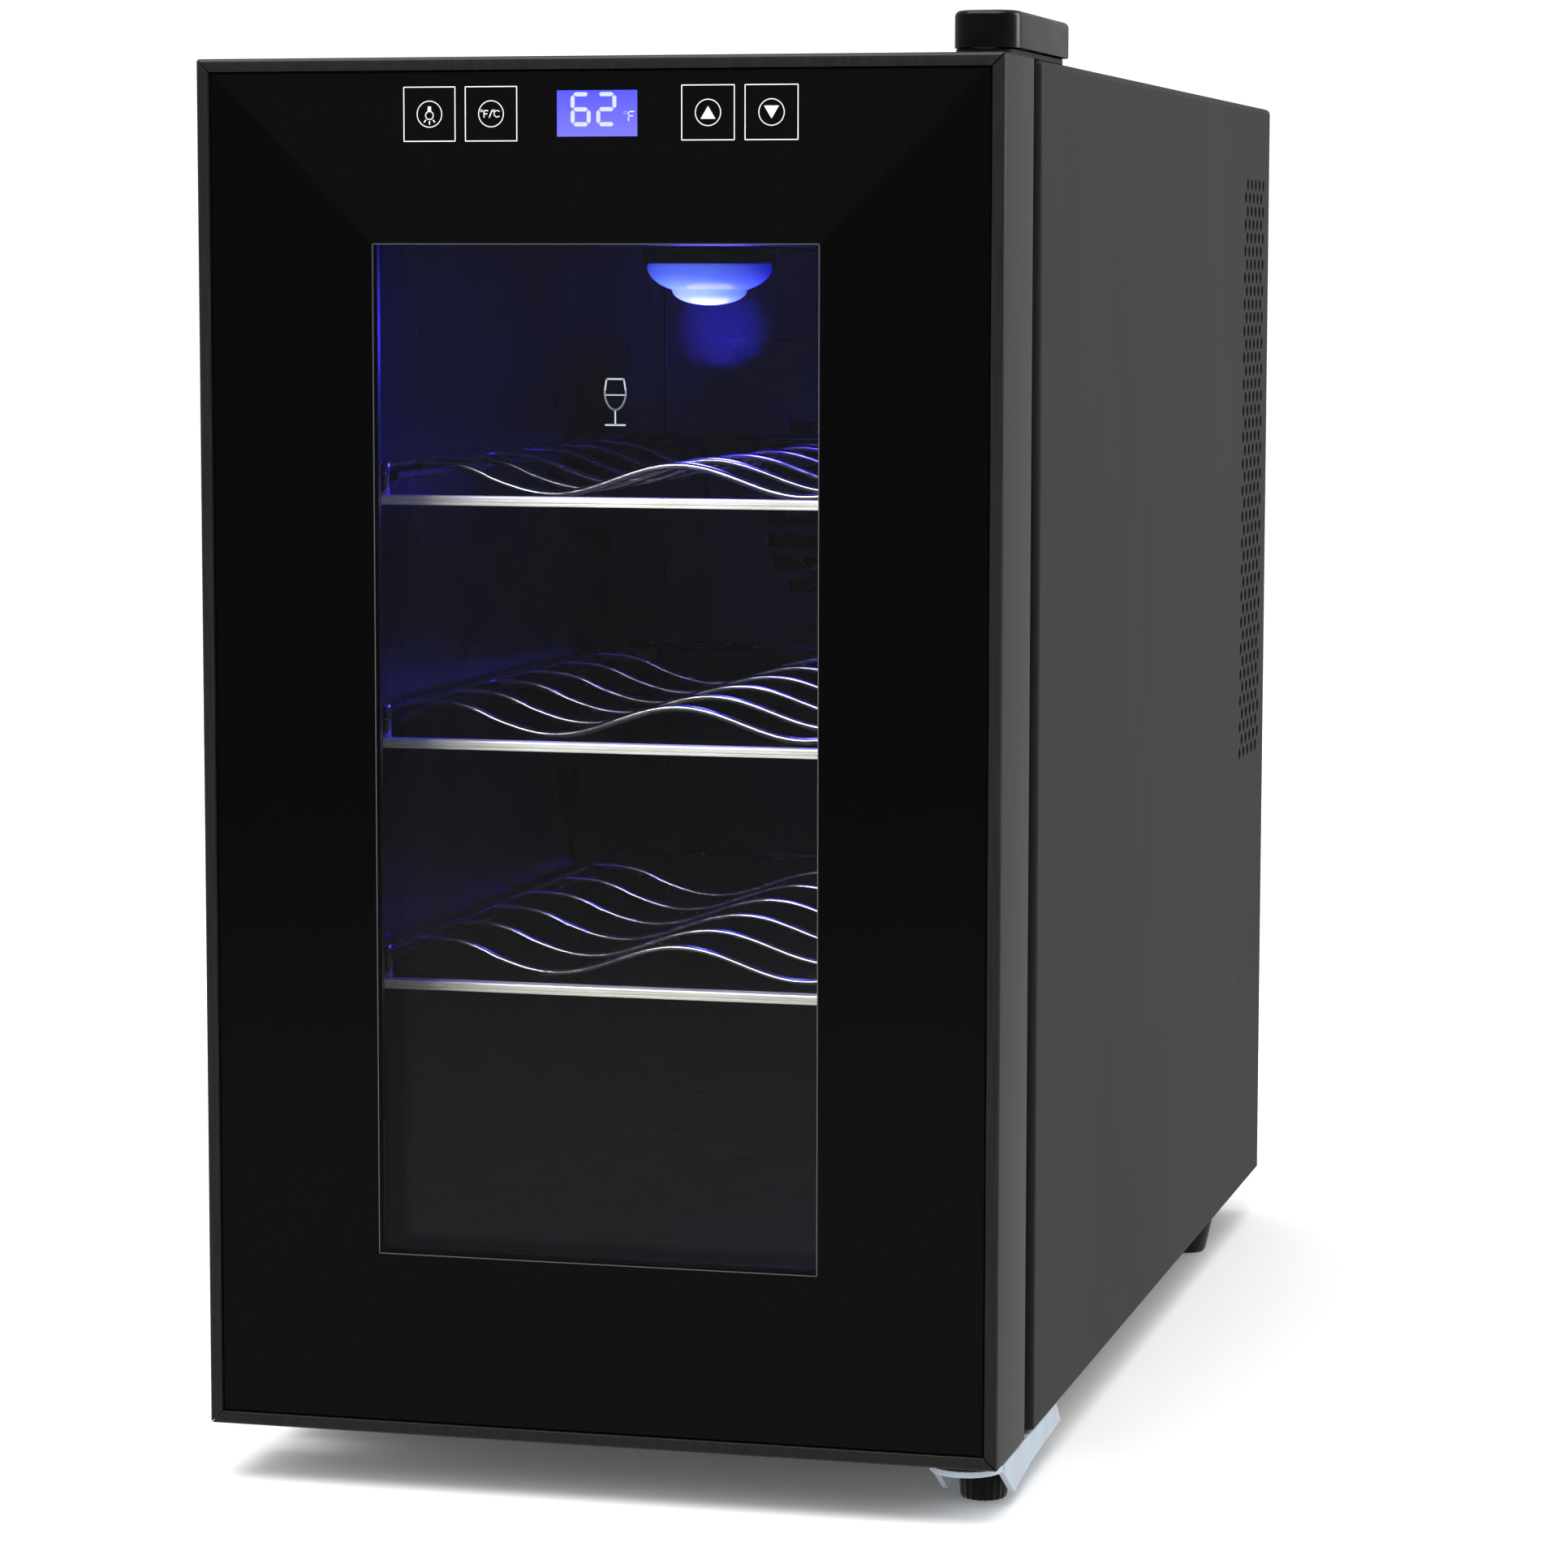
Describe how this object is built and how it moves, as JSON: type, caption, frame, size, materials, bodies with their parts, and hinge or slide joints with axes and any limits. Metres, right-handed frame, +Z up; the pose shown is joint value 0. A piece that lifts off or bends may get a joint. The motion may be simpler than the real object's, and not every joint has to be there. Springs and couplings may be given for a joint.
{
  "type": "thermoelectric wine cooler",
  "caption": "Tall narrow countertop wine cooler with a full-face dark glass door, touch controls and display, sliding chromed wire shelves and fan cooling.",
  "frame": {"origin": "on the floor under the middle of the overall box", "axes": "the door faces -Y, +Z up, +X is the hinge side, on the right seen from the front"},
  "size_m": [0.252, 0.52, 0.4555],
  "materials": {
    "painted_steel": "satin",
    "galvanised_steel": "matte",
    "zinc_plated_steel": "satin",
    "door_frame": "satin",
    "black_plastic": "gloss",
    "foot_plastic": "satin",
    "liner_plastic": "satin",
    "printed_glass": "gloss",
    "clear_glass": "gloss",
    "spacer_bar": "matte",
    "gasket_rubber": "matte",
    "chrome_wire": "polished",
    "foam": "matte",
    "extruded_aluminium": "satin",
    "ceramic": "matte",
    "circuit_board": "satin",
    "transformer_tape": "satin",
    "display": "gloss",
    "white_plastic": "satin",
    "nylon": "satin",
    "lamp_lens": "satin"
  },
  "bodies": {
    "cabinet": {"cabinet_wrapper": "painted_steel", "base_plate": "painted_steel", "rear_cover": "painted_steel", "upper_hinge_plate": "painted_steel", "rear_bulkhead": "galvanised_steel", "upper_hinge_pin": "zinc_plated_steel", "upper_hinge_screw_front": "zinc_plated_steel", "upper_hinge_screw_rear": "zinc_plated_steel", "lower_hinge_bracket": "zinc_plated_steel", "lower_hinge_pin": "zinc_plated_steel", "lower_hinge_screw_front": "zinc_plated_steel", "lower_hinge_screw_rear": "zinc_plated_steel", "clamp_screw_left": "zinc_plated_steel", "clamp_screw_right": "zinc_plated_steel", "rear_cover_screw_low_left": "zinc_plated_steel", "rear_cover_screw_low_right": "zinc_plated_steel", "rear_cover_screw_high_left": "zinc_plated_steel", "rear_cover_screw_high_right": "zinc_plated_steel", "hinge_cover": "black_plastic", "cold_fan_frame": "black_plastic", "hot_fan_frame": "black_plastic", "power_inlet": "black_plastic", "lamp_base": "black_plastic", "rear_foot_left": "foot_plastic", "rear_foot_right": "foot_plastic", "inner_liner": "liner_plastic", "air_duct_cover": "liner_plastic", "insulation_foam": "foam", "cold_heat_sink": "extruded_aluminium", "hot_heat_sink": "extruded_aluminium", "cold_transfer_block": "extruded_aluminium", "thermoelectric_module": "ceramic", "power_board": "circuit_board", "lamp_board": "circuit_board", "power_transformer": "transformer_tape", "temperature_sensor": "white_plastic", "lamp_lens": "lamp_lens"},
    "door": {"door_rail_top": "door_frame", "door_rail_bottom": "door_frame", "door_stile_left": "door_frame", "door_stile_right": "door_frame", "outer_glass": "printed_glass", "glass_spacer": "spacer_bar", "inner_glass": "clear_glass", "door_inner_panel": "liner_plastic", "door_gasket": "gasket_rubber", "touch_board": "circuit_board", "display_module": "display", "upper_hinge_bush": "nylon", "lower_hinge_bush": "nylon"},
    "lower_shelf": {"shelf_lower": "chrome_wire"},
    "middle_shelf": {"shelf_middle": "chrome_wire"},
    "upper_shelf": {"shelf_upper": "chrome_wire"},
    "cold_fan": {"cold_fan_rotor": "black_plastic"},
    "hot_fan": {"hot_fan_rotor": "black_plastic"},
    "left_foot": {"levelling_foot_left": "foot_plastic"},
    "right_foot": {"levelling_foot_right": "foot_plastic"}
  },
  "joints": [
    {"name": "door_hinge", "type": "hinge", "parent": "cabinet", "child": "door", "pos_m": [0.1135, -0.23, 0.018], "axis": [0, 0, 1], "range_deg": [0, 115]},
    {"name": "lower_shelf_slide", "type": "slide", "parent": "cabinet", "child": "lower_shelf", "axis": [0, -1, 0], "range_m": [0, 0.02]},
    {"name": "middle_shelf_slide", "type": "slide", "parent": "cabinet", "child": "middle_shelf", "axis": [0, -1, 0], "range_m": [0, 0.02]},
    {"name": "upper_shelf_slide", "type": "slide", "parent": "cabinet", "child": "upper_shelf", "axis": [0, -1, 0], "range_m": [0, 0.02]},
    {"name": "cold_fan_spin", "type": "hinge", "parent": "cabinet", "child": "cold_fan", "pos_m": [0, 0.1159, 0.29], "axis": [0, 1, 0], "continuous": true},
    {"name": "hot_fan_spin", "type": "hinge", "parent": "cabinet", "child": "hot_fan", "pos_m": [0, 0.242, 0.29], "axis": [0, 1, 0], "continuous": true},
    {"name": "left_foot_turn", "type": "hinge", "parent": "cabinet", "child": "left_foot", "pos_m": [-0.112, -0.168, 0], "axis": [0, 0, 1], "continuous": true},
    {"name": "right_foot_turn", "type": "hinge", "parent": "cabinet", "child": "right_foot", "pos_m": [0.1135, -0.219, 0], "axis": [0, 0, 1], "continuous": true}
  ]
}
